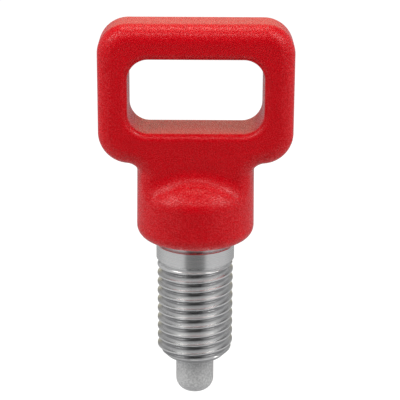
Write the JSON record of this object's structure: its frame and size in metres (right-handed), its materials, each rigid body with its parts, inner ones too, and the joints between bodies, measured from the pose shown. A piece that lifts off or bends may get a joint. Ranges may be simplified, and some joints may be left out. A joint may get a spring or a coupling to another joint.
{
  "type": "indexing plunger",
  "caption": "Spring-loaded indexing plunger: a moulded loop grip draws a round-nosed steel pin up into a threaded sleeve, and the spring sends it back.",
  "frame": {"origin": "on the plunger's axis, at the upper end of the sleeve's thread", "axes": "+Z along the plunger's axis from the pin to the grip, +X along the width of the grip's loop, -Y towards the viewer of the picture"},
  "size_m": [0.0298, 0.0182, 0.0603],
  "materials": {
    "grip_plastic": "red glass-filled polyamide with a fine spark-eroded grain",
    "sleeve_steel": "bare turned steel with fine turning marks",
    "pin_steel": "ground steel, dull grey",
    "spring_wire": "drawn spring wire",
    "insert_brass": "turned brass"
  },
  "bodies": {
    "sleeve": {"threaded_sleeve": "sleeve_steel"},
    "spring": {"compression_spring": "spring_wire"},
    "plunger": {"indexing_pin": "pin_steel", "grip_insert": "insert_brass", "grip": "grip_plastic"}
  },
  "joints": [
    {"name": "handle_turn", "type": "hinge", "parent": "sleeve", "child": "spring", "pos_m": [0, 0, 0], "axis": [0, 0, 1], "continuous": true},
    {"name": "pull", "type": "slide", "parent": "spring", "child": "plunger", "axis": [0, 0, 1], "range_m": [0, 0.0065], "stiffness_N_per_m": 1900, "springref_m": -0.0032, "deforming": ["compression_spring"]}
  ]
}
